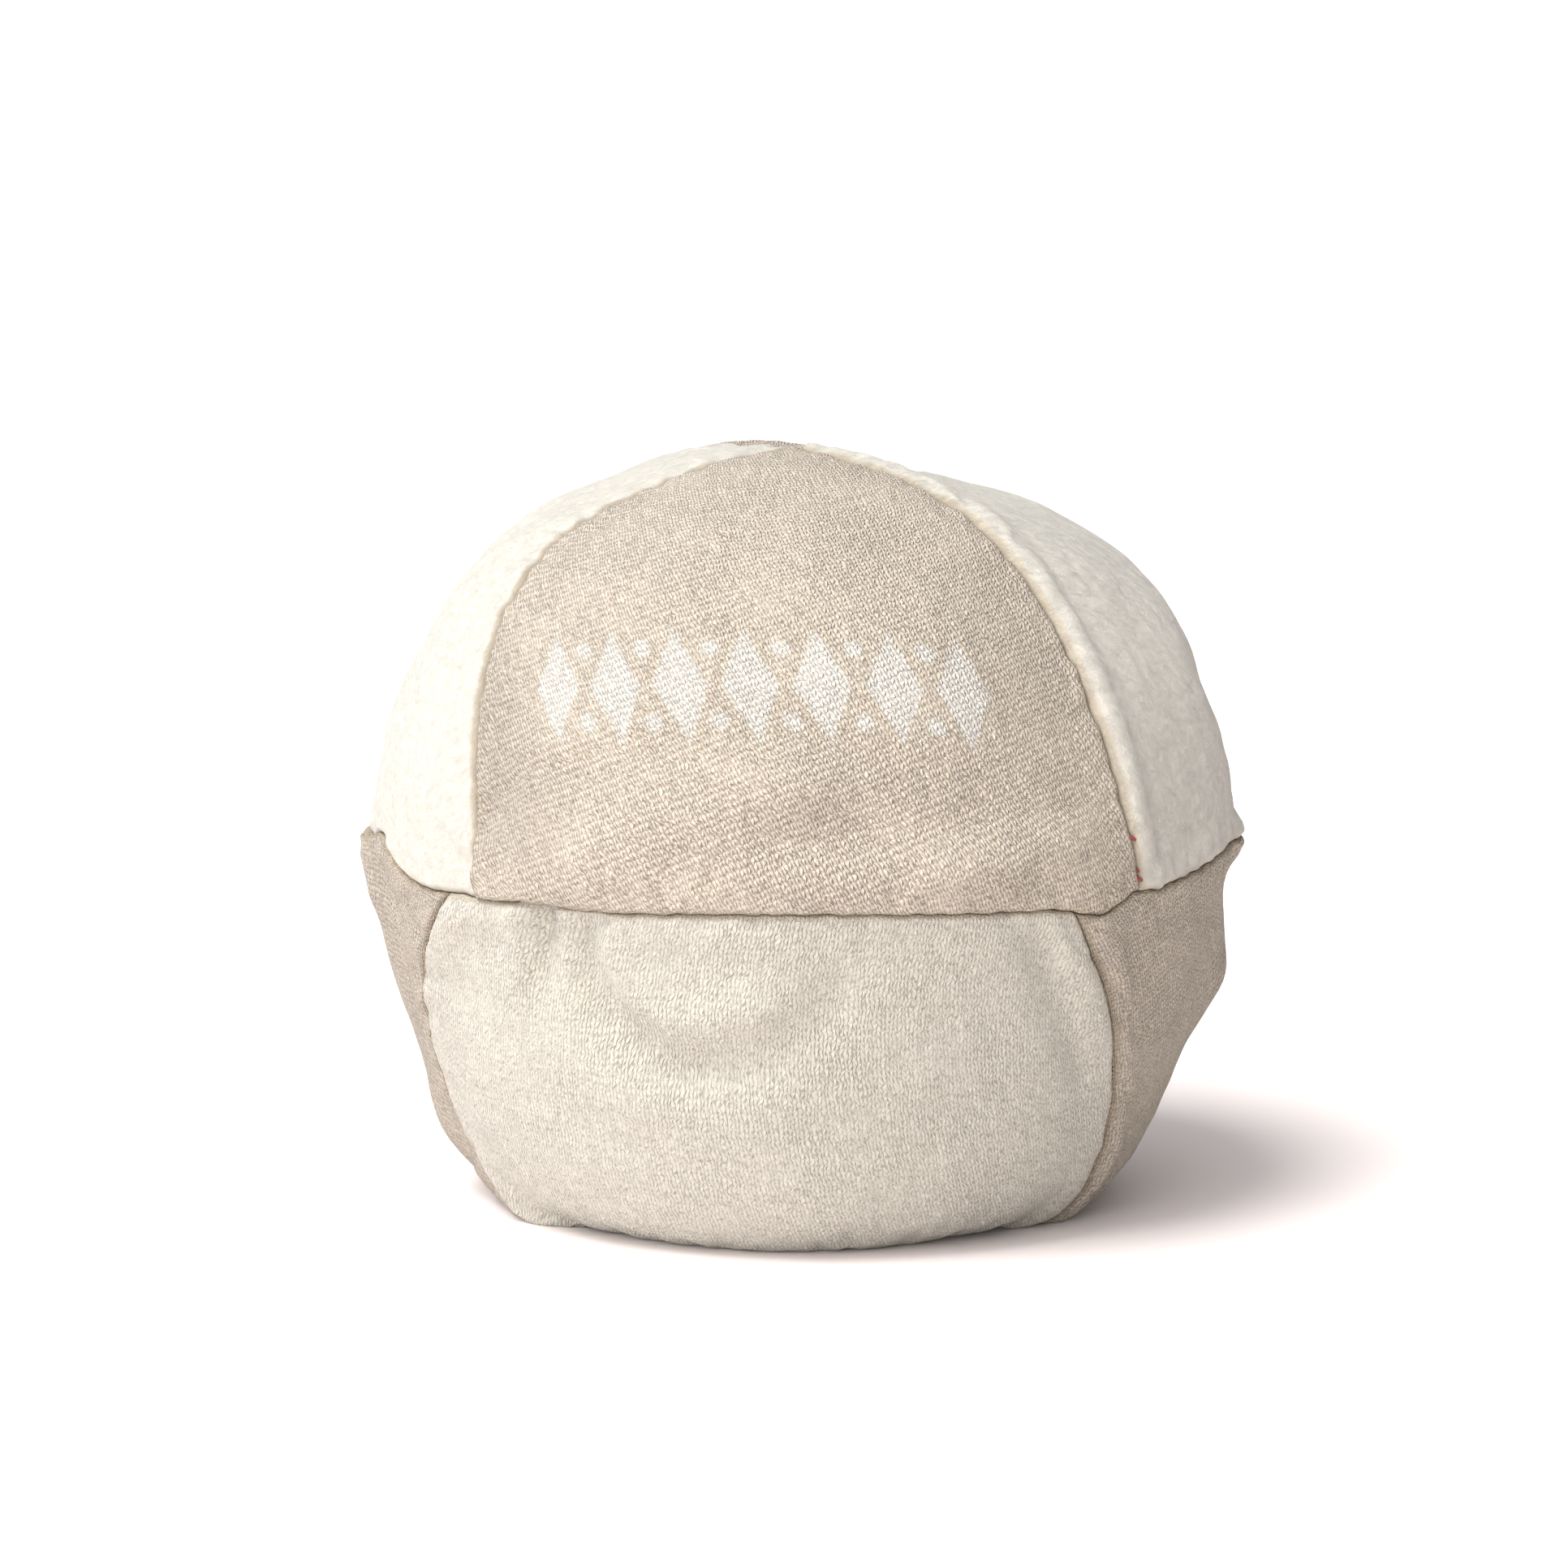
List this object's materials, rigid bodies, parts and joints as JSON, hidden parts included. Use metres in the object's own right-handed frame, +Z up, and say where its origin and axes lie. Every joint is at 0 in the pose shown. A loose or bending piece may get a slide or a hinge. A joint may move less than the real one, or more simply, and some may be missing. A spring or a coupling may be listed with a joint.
{
  "type": "juggling ball",
  "caption": "Soft panelled knit beanbag ball with a seed fill, slumped to rest on a flat base.",
  "frame": {"origin": "middle of the ball's footprint box, at the level of the surface it rests on", "axes": "+Z up, -Y towards the front with the printed beige panel, +X to the right seen from the front"},
  "size_m": [0.0676, 0.0666, 0.0594],
  "materials": {
    "knit_beige": "open weft knit, beige, matt and slightly fuzzy",
    "knit_cream": "brushed weft knit, cream, matt and fleecy",
    "seam_thread": "spun sewing thread, tan",
    "closing_thread": "spun sewing thread, dark red",
    "seed": "hulled millet seed, dry and slightly glossy"
  },
  "bodies": {
    "root": {"top_front_panel": "knit_beige", "top_right_panel": "knit_cream", "top_back_panel": "knit_beige", "top_left_panel": "knit_cream", "bottom_front_panel": "knit_cream", "bottom_right_panel": "knit_beige", "bottom_back_panel": "knit_cream", "bottom_left_panel": "knit_beige", "top_front_left_seam_thread": "seam_thread", "top_front_right_seam_thread": "seam_thread", "top_back_right_seam_thread": "seam_thread", "top_back_left_seam_thread": "seam_thread", "bottom_front_left_seam_thread": "seam_thread", "bottom_front_right_seam_thread": "seam_thread", "bottom_back_right_seam_thread": "seam_thread", "bottom_back_left_seam_thread": "seam_thread", "equator_seam_thread": "seam_thread", "closing_thread": "closing_thread", "closing_knot": "closing_thread", "seed_fill": "seed"}
  },
  "joints": []
}
